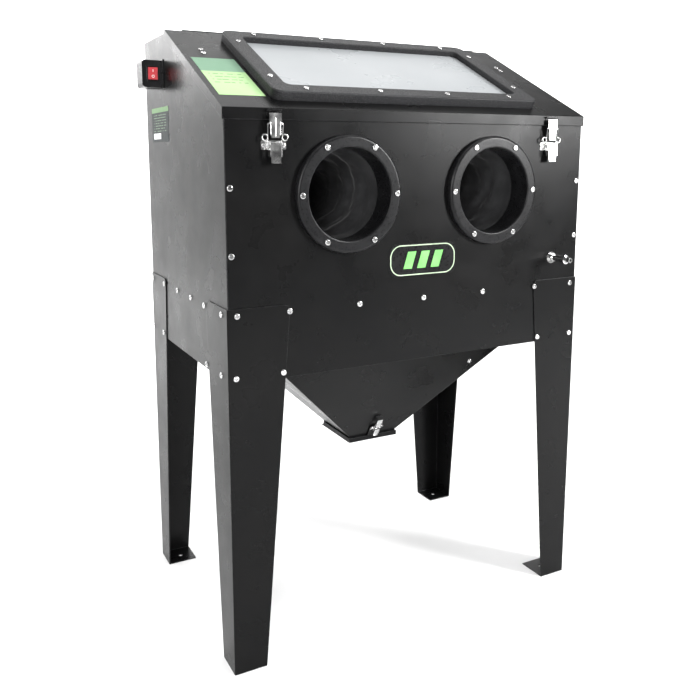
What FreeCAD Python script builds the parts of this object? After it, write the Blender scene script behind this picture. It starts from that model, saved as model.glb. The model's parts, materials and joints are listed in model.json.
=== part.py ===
import FreeCAD, Part
import math
import os
from FreeCAD import Placement, Rotation, Vector

os.makedirs("parts", exist_ok=True)

# ---------------------------------------------------------------- driving dimensions (mm)
# Row frame: X to the right, Y to the back, Z up; origin on the floor under the cabinet's plan centre.
WIDTH = 920.0            # over the side panels
DEPTH = 578.0            # over the front and rear panels
SHEET = 1.5              # panel sheet
SKIRT_Z = 640.0          # lower edge of the panels
TOP_Z = 1377.0           # flat top behind the lid
LIP_Z = 1166.0           # lower edge of the lid's front lip
LID_FRONT_Z = 1189.0     # top of the lid's front edge
HINGE_Y = 98.0           # lid hinge axis
HINGE_Z = 1382.5
HINGE_R = 4.5
LID_OVERHANG = 3.5
RIM_DROP = 8.0           # the box rim lies this far under the lid's top face

LEG_TOP_Z = 794.0
LEG_T = 2.5
LEG_FRONT_TOP = 138.0
LEG_FRONT_FOOT = 74.0
LEG_SIDE_TOP = 134.0
LEG_SIDE_FOOT = 72.0
FOOT_HOLE_R = 5.5
FOOT_HOLE_IN = 40.0      # foot hole from the leg's outer corner, both ways

PORT_X = 188.0
PORT_Z = 1016.0
RING_R = 124.0
RING_BORE_R = 97.0
RING_T = 14.0
TUBE_R = 102.0
TUBE_LEN = 44.0
RING_SCREW_R = 112.0

HOPPER_TOP_Z = 765.0
HOPPER_FLANGE_Z = 795.0
OUTLET_X = 66.0          # half widths of the outlet, outside
OUTLET_Y = 74.0
OUTLET_TOP_Z = 390.0
OUTLET_Z = 380.0
HOPPER_SCREW_X = 220.0   # single screw in the hopper's front wall
HOPPER_SCREW_Z = 581.0

GRATE_Z = 800.0
WINDOW_W = 684.0
WINDOW_V0 = 38.0
WINDOW_V1 = 398.0
WINDOW_H = 20.0
WINDOW_RIM = 40.0

LATCH_X = 357.0
LATCH_Z = 1121.0         # lever pivot height
STAY_V = 325.0           # lid stay pivot, along and under the lid
STAY_H = -28.0
STAY_LEN = 170.0
STAY_X = 432.0
LID_TRAVEL = 65.0        # degrees

RIM_FLANGE = 20.0        # flange turned inwards round the box rim

INLET_X = 378.0          # air plug through the front panel
INLET_Z = 848.0
INLET_THREAD_R = 7.0
EXHAUST_R = 38.0         # hose spigot on the rear panel
EXHAUST_Z = 1250.0

DOOR_HINGE_Y = 82.0      # dump door
DOOR_HINGE_Z = 383.0
DOOR_HINGE_R = 4.0
DOOR_PIN_R = 1.6
DOOR_KNUCKLES = 7
DOOR_Z = 376.5
DOOR_X = 69.5
DOOR_Y0 = -77.5
DUMP_SCALE = 0.56        # the dump latch is a smaller size of the lid latch
DUMP_STANDOFF = 4.0
DUMP_UP = 28.0           # its lever pivot, up the hopper's front wall from the outlet
PIN_CLEAR = 0.05

# A latch is made about its lever pivot's height: X across, Y = 0 on the mounting face with -Y outwards,
# Z up towards the hook.
LATCH_PIN_Y = -9.0
LATCH_PIN_R = 1.6
CLAW_PIN_Y = -6.5
CLAW_PIN_Z = -12.0
CLAW_PIN_R = 1.2
CLAW_TOP = 58.0
WIRE_R = 1.1
COIL_R = 6.0
COIL_X = 21.4
COIL_Z = 11.0

WINDOW_CORNER_R = 22.0
GLASS_LAP = 10.0         # glass beyond the sight opening
GASKET_T = 2.0
GLASS_T = 4.0
LID_KNUCKLES = 15
LID_PIN_R = 2.0
STAY_PIN_R = 4.0

GLOVE_T = 2.0
GLOVE_FIT = 0.3

SWITCH_Y = 124.0         # front face of the switch's plate
SWITCH_Z = 1287.0
SWITCH_OUT = 50.0
SWITCH_LEN = 58.0
SWITCH_TALL = 62.0
ROCKER_HALF = 11.0
ROCKER_TALL = 30.0
ROCKER_PIN_R = 1.2

GUN_X = 432.0
GUN_Y = 150.0
GUN_Z = 960.0

HALF_W = WIDTH / 2
FRONT_Y = -DEPTH / 2
BACK_Y = DEPTH / 2
LID_Y0 = FRONT_Y - LID_OVERHANG
LID_A = math.atan2(HINGE_Z + HINGE_R - LID_FRONT_Z, HINGE_Y - LID_Y0)
LID_LEN = 430.0
LID_DEG = math.degrees(LID_A)
LID_FRAME = Placement(Vector(0, LID_Y0, LID_FRONT_Z), Rotation(Vector(1, 0, 0), LID_DEG))
BACK_RUN_Y = LID_Y0 + (TOP_Z - SHEET - LID_FRONT_Z + RIM_DROP / math.cos(LID_A)) / math.tan(LID_A)
ROCKER_X = -HALF_W - 25.0
HOPPER_LEAN = math.degrees(math.atan2(BACK_Y - SHEET - 0.2 - OUTLET_Y, HOPPER_TOP_Z - OUTLET_TOP_Z))
DUMP_FRAME = Placement(
    Vector(0, -OUTLET_Y, OUTLET_TOP_Z), Rotation(Vector(1, 0, 0), HOPPER_LEAN)
).multiply(Placement(Vector(0, -DUMP_STANDOFF, DUMP_UP), Rotation()))


# ---------------------------------------------------------------- small shape helpers
def box(x0, x1, y0, y1, z0, z1):
    return Part.makeBox(x1 - x0, y1 - y0, z1 - z0, Vector(x0, y0, z0))


def rod(p0, p1, radius):
    start = Vector(*p0)
    way = Vector(*p1) - start
    return Part.makeCylinder(radius, way.Length, start, way)


def ball(p, radius):
    return Part.makeSphere(radius, Vector(*p))


def prism_x(points, x0, x1):
    """A polygon in the YZ plane, swept along X."""
    wire = Part.makePolygon([Vector(x0, y, z) for y, z in points + points[:1]])
    return Part.Face(wire).extrude(Vector(x1 - x0, 0, 0))


def prism_y_hex(x, z, radius, y0, y1):
    angles = [math.radians(60 * k) for k in range(7)]
    ring = [Vector(x + radius * math.cos(a), y0, z + radius * math.sin(a)) for a in angles]
    return Part.Face(Part.makePolygon(ring)).extrude(Vector(0, y1 - y0, 0))


def slab(outer, inner):
    """Flat plate with mitred ends, from its four outer and its four inner corners."""
    sides = [[outer[i], outer[i - 1], inner[i - 1], inner[i]] for i in range(4)]
    faces = [Part.Face(Part.makePolygon(f + f[:1])) for f in [outer, inner] + sides]
    solid = Part.makeSolid(Part.makeShell(faces))
    if solid.Volume < 0:
        solid.reverse()
    return solid


def union(shapes):
    first = shapes[0]
    return first.multiFuse(shapes[1:]).removeSplitter() if len(shapes) > 1 else first


def rounded(shape, radius, pick):
    edges = [e for e in shape.Edges if pick(e)]
    return shape.makeFillet(radius, edges)


def straight_along(axis):
    """Picks the straight edges that run along one axis."""
    way = Vector(*axis)

    def pick(edge):
        if len(edge.Vertexes) != 2 or not isinstance(edge.Curve, Part.Line):
            return False
        line = edge.Vertexes[1].Point - edge.Vertexes[0].Point
        return abs(line.normalize().dot(way)) > 0.999
    return pick


def mirrored(shape):
    return shape.mirror(Vector(0, 0, 0), Vector(1, 0, 0))


def on_lid(shape):
    """Moves a shape made in the lid's own axes (X, up the slope, out of the lid) to its place."""
    placed = shape.copy()
    placed.Placement = LID_FRAME.multiply(placed.Placement)
    return placed


def lid_point(v, h):
    p = LID_FRAME.multVec(Vector(0, v, h))
    return p.y, p.z


def rim_z(y, drop=RIM_DROP):
    """Height of the plane that lies a given drop under the lid's top face."""
    return LID_FRONT_Z + (y - LID_Y0) * math.tan(LID_A) - drop / math.cos(LID_A)


def wire_path(points, radius):
    parts = [rod(a, b, radius) for a, b in zip(points, points[1:])]
    parts += [ball(p, radius) for p in points[1:-1]]
    return union(parts)


def pan_head(centre, out, radius, height):
    """A pan-head cross-recess screw head that sits on a face and points out of it."""
    base = Vector(*centre)
    head = Part.makeCylinder(radius, height, base, Vector(*out))
    top = base + Vector(*out).normalize() * height
    rim = [e for e in head.Edges if isinstance(e.Curve, Part.Circle) and (e.Curve.Center - top).Length < 0.01]
    head = head.makeFillet(height * 0.62, rim)
    slot = Part.makeBox(radius * 1.05, radius * 0.24, height)
    slot.translate(Vector(-radius * 0.525, -radius * 0.12, height * 0.55))
    cross = slot.fuse(slot.rotated(Vector(0, 0, 0), Vector(0, 0, 1), 90))
    cross.Placement = Placement(base, Rotation(Vector(0, 0, 1), Vector(*out)))
    return head.cut(cross)


nodes = {}


def add(name, shape):
    nodes[name] = shape
    shape.exportStep("parts/" + name + ".step")


# ---------------------------------------------------------------- panels
def side_panel():
    """Left side panel with a flange turned inwards along its sloping top."""
    z_front = rim_z(FRONT_Y)
    z_back = TOP_Z - SHEET
    outline = [(FRONT_Y, SKIRT_Z), (FRONT_Y, z_front), (BACK_RUN_Y, z_back), (BACK_Y, z_back),
               (BACK_Y, SKIRT_Z)]
    sheet = prism_x(outline, -HALF_W, -HALF_W + SHEET)
    y0 = FRONT_Y + RIM_FLANGE + SHEET
    drop = SHEET / math.cos(LID_A)
    top = [(y0, rim_z(y0)), (BACK_RUN_Y, z_back), (BACK_RUN_Y, z_back - drop), (y0, rim_z(y0) - drop)]
    flange = prism_x(top, -HALF_W, -HALF_W + RIM_FLANGE)
    hem = box(-HALF_W, -HALF_W + 12, FRONT_Y + SHEET, BACK_Y - SHEET, SKIRT_Z, SKIRT_Z + SHEET)
    return union([sheet, flange, hem])


def front_panel():
    half = HALF_W - SHEET
    z_top = rim_z(FRONT_Y)
    sheet = box(-half, half, FRONT_Y, FRONT_Y + SHEET, SKIRT_Z, z_top - 0.8)
    y1 = FRONT_Y + RIM_FLANGE
    drop = SHEET / math.cos(LID_A)
    top = [(FRONT_Y, z_top), (y1, rim_z(y1)), (y1, rim_z(y1) - drop), (FRONT_Y, z_top - drop)]
    flange = prism_x(top, -half, half)
    hem = box(-half + 12, half - 12, FRONT_Y, FRONT_Y + 12, SKIRT_Z, SKIRT_Z + SHEET)
    panel = union([sheet, flange, hem])
    holes = [rod((x, FRONT_Y - 5, PORT_Z), (x, FRONT_Y + 9, PORT_Z), TUBE_R + 0.5) for x in (-PORT_X, PORT_X)]
    holes.append(rod((INLET_X, FRONT_Y - 5, INLET_Z), (INLET_X, FRONT_Y + 9, INLET_Z), INLET_THREAD_R + 0.3))
    for hole in holes:
        panel = panel.cut(hole)
    return panel


def rear_panel():
    half = HALF_W - SHEET
    sheet = box(-half, half, BACK_Y - SHEET, BACK_Y, SKIRT_Z, TOP_Z - SHEET)
    hem = box(-half + 12, half - 12, BACK_Y - 12, BACK_Y, SKIRT_Z, SKIRT_Z + SHEET)
    panel = union([sheet, hem])
    return panel.cut(rod((0, BACK_Y - 5, EXHAUST_Z), (0, BACK_Y + 5, EXHAUST_Z), EXHAUST_R - 2))


def rear_top_cover():
    y0 = BACK_RUN_Y + 0.5
    top = box(-HALF_W, HALF_W, y0, BACK_Y, TOP_Z - SHEET, TOP_Z)
    down = box(-HALF_W + RIM_FLANGE + 2, HALF_W - RIM_FLANGE - 2, y0, y0 + SHEET, TOP_Z - 22, TOP_Z)
    return union([top, down])


# ---------------------------------------------------------------- legs
def leg(left, front):
    """A tapered angle leg that wraps one corner, with its foot plate turned in at the floor."""
    corner_x = HALF_W + LEG_T
    corner_y = DEPTH / 2 + LEG_T
    face = [(0, 0), (LEG_FRONT_FOOT, 0), (LEG_FRONT_TOP, LEG_TOP_Z), (0, LEG_TOP_Z)]
    side = [(0, 0), (LEG_SIDE_FOOT, 0), (LEG_SIDE_TOP, LEG_TOP_Z), (0, LEG_TOP_Z)]
    wire = Part.makePolygon([Vector(x, 0, z) for x, z in face + face[:1]])
    front_flange = Part.Face(wire).extrude(Vector(0, LEG_T, 0))
    wire = Part.makePolygon([Vector(0, y, z) for y, z in side + side[:1]])
    side_flange = Part.Face(wire).extrude(Vector(LEG_T, 0, 0))
    tip = Vector(LEG_FRONT_TOP, LEG_T / 2, LEG_TOP_Z)
    front_flange = rounded(front_flange, 12, lambda e: (e.CenterOfMass - tip).Length < 2)
    tip_side = Vector(LEG_T / 2, LEG_SIDE_TOP, LEG_TOP_Z)
    side_flange = rounded(side_flange, 12, lambda e: (e.CenterOfMass - tip_side).Length < 2)
    foot = box(0, LEG_FRONT_FOOT, 0, LEG_SIDE_FOOT, 0, LEG_T)
    hole = rod((FOOT_HOLE_IN, FOOT_HOLE_IN, -1), (FOOT_HOLE_IN, FOOT_HOLE_IN, LEG_T + 1), FOOT_HOLE_R)
    body = union([front_flange, side_flange, foot]).cut(hole)
    spine = [e for e in body.Edges if abs(e.CenterOfMass.x) < 0.01 and abs(e.CenterOfMass.y) < 0.01]
    body = body.makeFillet(2.0, spine)
    body.translate(Vector(-corner_x, -corner_y, 0))
    if not left:
        body = mirrored(body)
    if not front:
        body = body.mirror(Vector(0, 0, 0), Vector(0, 1, 0))
    return body


# ---------------------------------------------------------------- hopper and dump door
def hopper():
    """Welded from mitred plates: a top flange, four sloping walls and the outlet's neck."""
    half_x = HALF_W - SHEET - 0.2
    half_y = BACK_Y - SHEET - 0.2
    levels = [(half_x, half_y, HOPPER_FLANGE_Z), (half_x, half_y, HOPPER_TOP_Z),
              (OUTLET_X, OUTLET_Y, OUTLET_TOP_Z), (OUTLET_X, OUTLET_Y, OUTLET_Z)]
    plates = []
    for upper, lower in zip(levels, levels[1:]):
        for a, b in (((-1, -1), (1, -1)), ((1, -1), (1, 1)), ((1, 1), (-1, 1)), ((-1, 1), (-1, -1))):
            skins = []
            for inset in (0, SHEET):
                skins.append([Vector(sx * (x - inset), sy * (y - inset), z)
                              for (sx, sy), (x, y, z) in ((a, upper), (b, upper), (b, lower), (a, lower))])
            plates.append(slab(skins[0], skins[1]))
    return Part.makeCompound(plates)


def knuckles(y, z, radius, bore, spans):
    return [rod((a, y, z), (b, y, z), radius).cut(rod((a - 1, y, z), (b + 1, y, z), bore)) for a, b in spans]


def comb(start, stop, count, gap, odd):
    """Every second knuckle of a hinge that runs from start to stop."""
    pitch = (stop - start) / count
    starts = [start + i * pitch for i in range(count) if i % 2 == odd]
    return [(a + gap / 2, a + pitch - gap / 2) for a in starts]


def dump_hinge_leaf():
    """Fixed leaf on the hopper's rear wall, folded down to the hinge axis."""
    spans = comb(-60, 60, DOOR_KNUCKLES, 0.8, 0)
    parts = knuckles(DOOR_HINGE_Y, DOOR_HINGE_Z, DOOR_HINGE_R, DOOR_PIN_R, spans)
    lean = math.radians(HOPPER_LEAN)
    run = (math.sin(lean), math.cos(lean))
    out = (math.cos(lean), -math.sin(lean))
    low = (OUTLET_Y + 0.15 + 7 * run[0], OUTLET_TOP_Z + 7 * run[1])
    high = (low[0] + 22 * run[0], low[1] + 22 * run[1])
    plate = [low, high] + [(p[0] + 1.5 * out[0], p[1] + 1.5 * out[1]) for p in (high, low)]
    parts.append(prism_x(plate, -60, 60))
    for a, b in spans:
        web = [(DOOR_HINGE_Y - 2.2, DOOR_HINGE_Z + 2.4), low, plate[3],
               (DOOR_HINGE_Y + 1.8, DOOR_HINGE_Z + 2.6)]
        parts.append(prism_x(web, a, b))
    return union(parts)


def dump_hinge_pin():
    pin = rod((-61, DOOR_HINGE_Y, DOOR_HINGE_Z), (61, DOOR_HINGE_Y, DOOR_HINGE_Z), DOOR_PIN_R)
    return pin


def dump_door():
    """Shallow pan that closes the outlet, with knuckles behind and a latch tab in front."""
    plate = box(-DOOR_X, DOOR_X, DOOR_Y0, DOOR_HINGE_Y - 3, DOOR_Z, DOOR_Z + SHEET)
    lips = [box(-DOOR_X, -DOOR_X + SHEET, DOOR_Y0, OUTLET_Y - 6, DOOR_Z, DOOR_Z + 11),
            box(DOOR_X - SHEET, DOOR_X, DOOR_Y0, OUTLET_Y - 6, DOOR_Z, DOOR_Z + 11),
            box(-DOOR_X, DOOR_X, DOOR_Y0, DOOR_Y0 + SHEET, DOOR_Z, DOOR_Z + 11)]
    spans = comb(-60, 60, DOOR_KNUCKLES, 0.8, 1)
    rings = knuckles(DOOR_HINGE_Y, DOOR_HINGE_Z, DOOR_HINGE_R, DOOR_PIN_R + PIN_CLEAR, spans)
    webs = []
    for a, b in spans:
        foot = [(DOOR_HINGE_Y - 5.5, DOOR_Z), (DOOR_HINGE_Y - 5.5, DOOR_Z + SHEET),
                (DOOR_HINGE_Y - 2.6, DOOR_HINGE_Z - 2.2), (DOOR_HINGE_Y - 0.4, DOOR_HINGE_Z - 3.2)]
        webs.append(prism_x(foot, a, b))
    tab = Part.makeBox(34, SHEET, 34.5)
    tab.Placement = DUMP_FRAME.multiply(Placement(Vector(-17, 0, -31), Rotation()))
    return union([plate] + lips + rings + webs + [tab])


# ---------------------------------------------------------------- toggle latches
def latch_base():
    plate = rounded(box(-27, 27, -1.5, 0, -13, 5), 3, straight_along((0, 1, 0)))
    ears = []
    for x in (-11.7, 10.2):
        ear = box(x, x + 1.5, LATCH_PIN_Y, -1, -5, 3.8)
        tip = rod((x, LATCH_PIN_Y, 0), (x + 1.5, LATCH_PIN_Y, 0), 3.8)
        ears += [ear, tip]
    pin = rod((-13.6, LATCH_PIN_Y, 0), (13.6, LATCH_PIN_Y, 0), LATCH_PIN_R)
    heads = [pan_head((x, -1.5, -4), (0, -1, 0), 4.4, 2.4) for x in (-21.5, 21.5)]
    return Part.makeCompound([union([plate, pin] + ears)] + heads)


def latch_lever():
    web = box(-13.4, 13.4, -14.7, -13.5, -26, -2)
    handle = rounded(box(-10.5, 10.5, -14.7, -13.5, -39, -24), 2, straight_along((0, 1, 0)))
    curl = box(-10.5, 10.5, -17, -13.5, -39.6, -38.2)
    sides = []
    for x in (-13.4, 12.2):
        outline = [(-16.6, -27), (-16.6, -3), (-11, 3.5), (-6, 3.5), (-4, 0), (-4, -15), (-9, -27)]
        side = prism_x(outline, x, x + 1.2)
        for y, z, r in ((LATCH_PIN_Y, 0, LATCH_PIN_R), (CLAW_PIN_Y, CLAW_PIN_Z, CLAW_PIN_R)):
            side = side.cut(rod((x - 1, y, z), (x + 3, y, z), r + PIN_CLEAR))
        sides.append(side)
    return union([web, handle, curl] + sides)


def latch_claw():
    """Claw plate with a rib and inturned tip, drawn down by a sprung wire on each side."""
    plate = box(-9, 9, -13.4, -12, 10, 44)
    top = box(-13, 13, -13.4, -12, 36, CLAW_TOP)
    tip = box(-13, 13, -13.4, -10.9, CLAW_TOP - 1.4, CLAW_TOP)
    rib = rod((0, -13.2, 14), (0, -13.2, 48), 1.7)
    parts = [plate, top, tip, rib, ball((0, -13.2, 48), 1.7), ball((0, -13.2, 14), 1.7)]
    wire_x = COIL_X - COIL_R
    turns = (CLAW_PIN_Y - WIRE_R, CLAW_PIN_Y - 3 * WIRE_R)
    for s in (-1, 1):
        parts.append(wire_path([(s * 11.4, CLAW_PIN_Y, CLAW_PIN_Z), (s * wire_x, CLAW_PIN_Y, CLAW_PIN_Z),
                                (s * wire_x, turns[0], COIL_Z)], WIRE_R))
        parts.append(wire_path([(s * wire_x, turns[1], COIL_Z), (s * (wire_x + 1), -12.7, 36),
                                (s * 12.2, -12.7, 39)], WIRE_R))
        parts.append(rod((s * 10.4, -12.7, 15), (s * 10.4, -12.7, 40), WIRE_R))
        for y in turns:
            parts.append(Part.makeTorus(COIL_R, WIRE_R, Vector(s * COIL_X, y, COIL_Z), Vector(0, 1, 0)))
    return union(parts)


def latch_catch():
    """Bracket above the claw's tip; made about the same point as the latch, on the lid's lip."""
    plate = rounded(box(-15, 15, -1.5, 0, 52, 66), 3.0, straight_along((0, 1, 0)))
    ledge = box(-15, 15, -6.5, -1, 61.5, 63)
    lip = box(-15, 15, -6.5, -5, 61.5, 65.5)
    return union([plate, ledge, lip])


def at_latch(shape, side):
    placed = shape.copy()
    placed.translate(Vector(side * LATCH_X, FRONT_Y, LATCH_Z))
    return placed


def at_dump(shape, lift=0.0):
    placed = shape.scaled(DUMP_SCALE)
    placed.translate(Vector(0, -lift, 0))
    placed.Placement = DUMP_FRAME.multiply(placed.Placement)
    return placed


# ---------------------------------------------------------------- lid
def lid_rect(half_x, v0, v1, h0, h1, radius):
    plate = box(-half_x, half_x, v0, v1, h0, h1)
    return rounded(plate, radius, straight_along((0, 0, 1)))


def lid_panel():
    t = SHEET
    back_top = lid_point(LID_LEN, 0)
    depth = (LID_FRONT_Z - LIP_Z) * math.cos(LID_A)
    back_low = lid_point(LID_LEN, -depth)
    low_front_z = back_low[1] - (back_low[0] - LID_Y0) * math.tan(LID_A)
    outer = prism_x([(LID_Y0, low_front_z), (LID_Y0, LID_FRONT_Z), back_top, back_low],
                    -HALF_W - LID_OVERHANG, HALF_W + LID_OVERHANG)
    in_top = lid_point(LID_LEN + 30, -t)
    drop = t / math.cos(LID_A)
    front_in_z = LID_FRONT_Z - drop + t * math.tan(LID_A)
    inner = prism_x([(LID_Y0 + t, LIP_Z - 60), (LID_Y0 + t, front_in_z), in_top, (in_top[0], LIP_Z - 60)],
                    -HALF_W - LID_OVERHANG + t, HALF_W + LID_OVERHANG - t)
    opening = on_lid(lid_rect(WINDOW_W / 2 - WINDOW_RIM - 4, WINDOW_V0 + WINDOW_RIM + 4,
                              WINDOW_V1 - WINDOW_RIM - 4, -10, 10, 12))
    bend = Vector(0, LID_Y0, LID_FRONT_Z)
    outer = rounded(outer, 2.0, lambda e: (e.CenterOfMass - bend).Length < 0.01)
    return outer.cut(inner).cut(opening)


def window_frame():
    half = WINDOW_W / 2
    frame = lid_rect(half, WINDOW_V0, WINDOW_V1, 0, WINDOW_H, WINDOW_CORNER_R)
    sight = lid_rect(half - WINDOW_RIM, WINDOW_V0 + WINDOW_RIM, WINDOW_V1 - WINDOW_RIM, -1, WINDOW_H + 1, 14)
    lap = GLASS_LAP + 0.5
    rebate = lid_rect(half - WINDOW_RIM + lap, WINDOW_V0 + WINDOW_RIM - lap, WINDOW_V1 - WINDOW_RIM + lap,
                      -1, GASKET_T + GLASS_T + 0.1, 14)
    frame = frame.cut(sight).cut(rebate)
    top_edges = [e for e in frame.Edges if all(abs(v.Z - WINDOW_H) < 0.01 for v in e.Vertexes)]
    return on_lid(frame.makeFillet(3.0, top_edges))


def window_pane(t0, t1, ring):
    half = WINDOW_W / 2 - WINDOW_RIM + GLASS_LAP
    v0 = WINDOW_V0 + WINDOW_RIM - GLASS_LAP
    v1 = WINDOW_V1 - WINDOW_RIM + GLASS_LAP
    pane = lid_rect(half, v0, v1, t0, t1, 14)
    if ring:
        pane = pane.cut(lid_rect(half - 14, v0 + 14, v1 - 14, t0 - 1, t1 + 1, 10))
    return on_lid(pane)


def lid_screws():
    mid = WINDOW_RIM / 2
    spots = [(x, v, WINDOW_H) for x in (-265, -88, 88, 265) for v in (WINDOW_V0 + mid, WINDOW_V1 - mid)]
    spots += [(x, v, WINDOW_H) for x in (-WINDOW_W / 2 + mid, WINDOW_W / 2 - mid) for v in (118, 322)]
    spots += [(s * 412, v, 0) for s in (-1, 1) for v in (288, 308)]
    heads = [pan_head((x, v, h), (0, 0, 1), 6.0, 2.6) for x, v, h in spots]
    return on_lid(Part.makeCompound(heads))


def lid_hinge_leaf():
    spans = comb(-420, 420, LID_KNUCKLES, 1.0, 1)
    parts = knuckles(HINGE_Y, HINGE_Z, HINGE_R, LID_PIN_R, spans)
    plate = on_lid(box(-420, 420, 402, 431, -3, -SHEET))
    arms = []
    for a, b in spans:
        arm = on_lid(box(a, b, 428, 436.5, -3, -SHEET))
        arms.append(arm.cut(rod((a - 1, HINGE_Y, HINGE_Z), (b + 1, HINGE_Y, HINGE_Z), HINGE_R - 1)))
    return union(parts + [plate] + arms)


def hinge_fixed_leaf():
    spans = comb(-420, 420, LID_KNUCKLES, 1.0, 0)
    parts = knuckles(HINGE_Y, HINGE_Z, HINGE_R, LID_PIN_R + PIN_CLEAR, spans)
    parts.append(box(-420, 420, HINGE_Y + 6, HINGE_Y + 30, TOP_Z, TOP_Z + SHEET))
    for a, b in spans:
        web = box(a, b, HINGE_Y + 0.5, HINGE_Y + 7, TOP_Z, TOP_Z + SHEET)
        bore = rod((a - 1, HINGE_Y, HINGE_Z), (b + 1, HINGE_Y, HINGE_Z), HINGE_R - 1)
        parts.append(web.cut(bore))
    return union(parts)


def lid_seal():
    """Foam strip on the box rim, under the lid's front and side margins."""
    half = HALF_W - 4
    inner = HALF_W - RIM_FLANGE + 1
    back_v = 392
    strip = box(-half, half, 6, back_v, -RIM_DROP + 0.1, -SHEET - 0.4)
    strip = strip.cut(box(-inner, inner, 22, back_v + 5, -20, 5))
    return on_lid(strip)


# ---------------------------------------------------------------- lid stays
def stay_pivot():
    return lid_point(STAY_V, STAY_H)


STAY_RADIUS = math.hypot(stay_pivot()[0] - HINGE_Y, stay_pivot()[1] - HINGE_Z)


def stay_arm():
    """Right-hand stay arm: a flat bar hung from the lid, with a headed pin at its lower end."""
    y, z = stay_pivot()
    x0 = STAY_X - 1.5
    x1 = STAY_X + 1.5
    bar = box(x0, x1, y - 8, y + 8, z - STAY_LEN, z)
    eyes = [rod((x0, y, zz), (x1, y, zz), 8) for zz in (z, z - STAY_LEN)]
    bore = rod((x0 - 1, y, z), (x1 + 1, y, z), 3 + PIN_CLEAR)
    pin = rod((x0, y, z - STAY_LEN), (STAY_X + 7.5, y, z - STAY_LEN), STAY_PIN_R)
    head = rod((STAY_X + 6.5, y, z - STAY_LEN), (STAY_X + 9.5, y, z - STAY_LEN), 6.5)
    return union([bar] + eyes + [pin, head]).cut(bore)


def stay_guide():
    """Right-hand guide on the side wall, with an arc slot that the arm's pin runs up."""
    y, z = stay_pivot()
    centre_z = HINGE_Z - STAY_LEN
    x0 = STAY_X + 3.2
    plate = box(x0, x0 + 2, -46, 40, 1118, 1288)
    slot_half = STAY_PIN_R + 0.5
    ring = rod((x0 - 1, HINGE_Y, centre_z), (x0 + 3, HINGE_Y, centre_z), STAY_RADIUS + slot_half)
    ring = ring.cut(rod((x0 - 2, HINGE_Y, centre_z), (x0 + 4, HINGE_Y, centre_z), STAY_RADIUS - slot_half))
    sweep = []
    start = math.atan2(z - HINGE_Z, y - HINGE_Y)
    for k in range(9):
        a = start - math.radians(k * (LID_TRAVEL + 6) / 8 - 3)
        reach = STAY_RADIUS * 1.5
        sweep.append((HINGE_Y + reach * math.cos(a), centre_z + reach * math.sin(a)))
    sector = prism_x([(HINGE_Y, centre_z)] + sweep, x0 - 1, x0 + 3)
    plate = plate.cut(ring.common(sector))
    wall = HALF_W - SHEET
    flanges = [box(x0, wall, -46, -44, 1118, 1288), box(x0, wall, 38, 40, 1118, 1288)]
    feet = [box(wall - 1.5, wall, -60, -44, 1118, 1288), box(wall - 1.5, wall, 38, 54, 1118, 1288)]
    return union([plate] + flanges + feet)


def stay_bracket():
    """Right-hand lid bracket: a foot under the lid and an ear with the arm's pivot pin."""
    y, z = stay_pivot()
    x_ear = STAY_X - 4.0
    foot = on_lid(box(STAY_X - 32, x_ear, STAY_V - 45, STAY_V + 8, -SHEET - 2, -SHEET))
    ear = on_lid(box(x_ear - 2, x_ear, STAY_V - 12, STAY_V + 8, STAY_H, -SHEET))
    eye = rod((x_ear - 2, y, z), (x_ear, y, z), 8)
    pin = rod((x_ear - 2, y, z), (STAY_X + 2.5, y, z), 3)
    head = rod((STAY_X + 1.8, y, z), (STAY_X + 3.0, y, z), 4.2)
    return union([foot, ear, eye, pin, head])


# ---------------------------------------------------------------- glove ports
def arm_ring(x):
    """Moulded ring: a rounded flange on the panel and a tube that runs into the cabinet."""
    y0 = FRONT_Y - RING_T
    flange = rod((x, y0, PORT_Z), (x, FRONT_Y, PORT_Z), RING_R)
    tube = rod((x, FRONT_Y - 1, PORT_Z), (x, FRONT_Y + TUBE_LEN, PORT_Z), TUBE_R)
    body = flange.fuse(tube).removeSplitter()
    body = body.cut(rod((x, y0 - 1, PORT_Z), (x, FRONT_Y + TUBE_LEN + 1, PORT_Z), RING_BORE_R))
    front = [e for e in body.Edges if abs(e.CenterOfMass.y - y0) < 0.01 and isinstance(e.Curve, Part.Circle)]
    outer = [e for e in front if e.Curve.Radius > RING_R - 1]
    inner = [e for e in front if e.Curve.Radius < RING_R - 1]
    return body.makeFillet(7.0, outer).makeFillet(3.5, inner)


def glove(x):
    """Rubber gauntlet: cuff over the ring's tube, sleeve that narrows, and a closed mitten."""
    y0 = FRONT_Y + 12.0
    r0 = TUBE_R + GLOVE_FIT
    outer_line = [(y0, r0 + GLOVE_T), (y0 + 45, r0 + GLOVE_T), (y0 + 215, 62), (y0 + 300, 56),
                  (y0 + 360, 52), (y0 + 385, 34)]
    inner_line = [(y0, r0), (y0 + 44, r0), (y0 + 214, 60), (y0 + 299, 54), (y0 + 358, 50), (y0 + 382, 32)]

    def turned(line):
        points = [Vector(x, line[0][0], PORT_Z)] + [Vector(x, y, PORT_Z + r) for y, r in line]
        points.append(Vector(x, line[-1][0], PORT_Z))
        wire = Part.makePolygon(points + points[:1])
        return Part.Face(wire).revolve(Vector(x, 0, PORT_Z), Vector(0, 1, 0), 360)
    return turned(outer_line).cut(turned(inner_line))


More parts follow.
